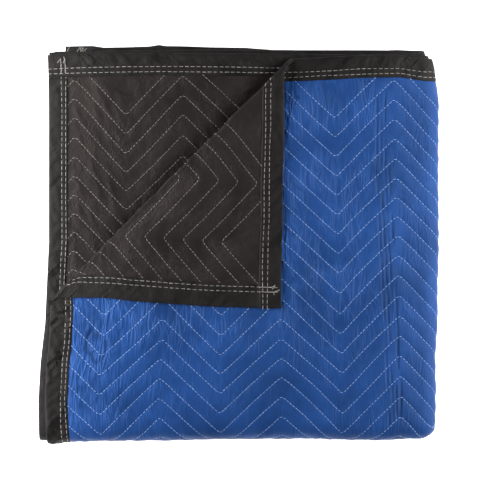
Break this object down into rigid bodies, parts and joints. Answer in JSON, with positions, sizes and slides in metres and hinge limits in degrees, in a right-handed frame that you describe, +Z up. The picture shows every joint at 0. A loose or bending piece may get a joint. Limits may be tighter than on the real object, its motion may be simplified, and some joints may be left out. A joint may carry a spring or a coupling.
{
  "type": "moving blanket",
  "caption": "Quilted moving blanket, blue on one side and black on the other, bound in black tape and folded to a flat pack with one corner turned back.",
  "frame": {"origin": "middle of the pack's underside, on the surface it lies on", "axes": "+Z up through the folded layers, +X along the top edge towards the side fold, +Y towards the bound top edges, away from the end fold"},
  "size_m": [0.5212, 0.517, 0.0861],
  "materials": {
    "blue_face": "quilted woven polyester, soft sheen, light blue zigzag stitching",
    "black_backing": "quilted woven polyester, matte, grey zigzag stitching",
    "black_binding": "folded woven tape, matte, sewn with two rows of grey stitches"
  },
  "bodies": {
    "root": {"face_cloth": "blue_face", "backing_cloth": "black_backing", "binding_top": "black_binding", "binding_bottom": "black_binding", "binding_left": "black_binding", "binding_right": "black_binding"}
  },
  "joints": []
}
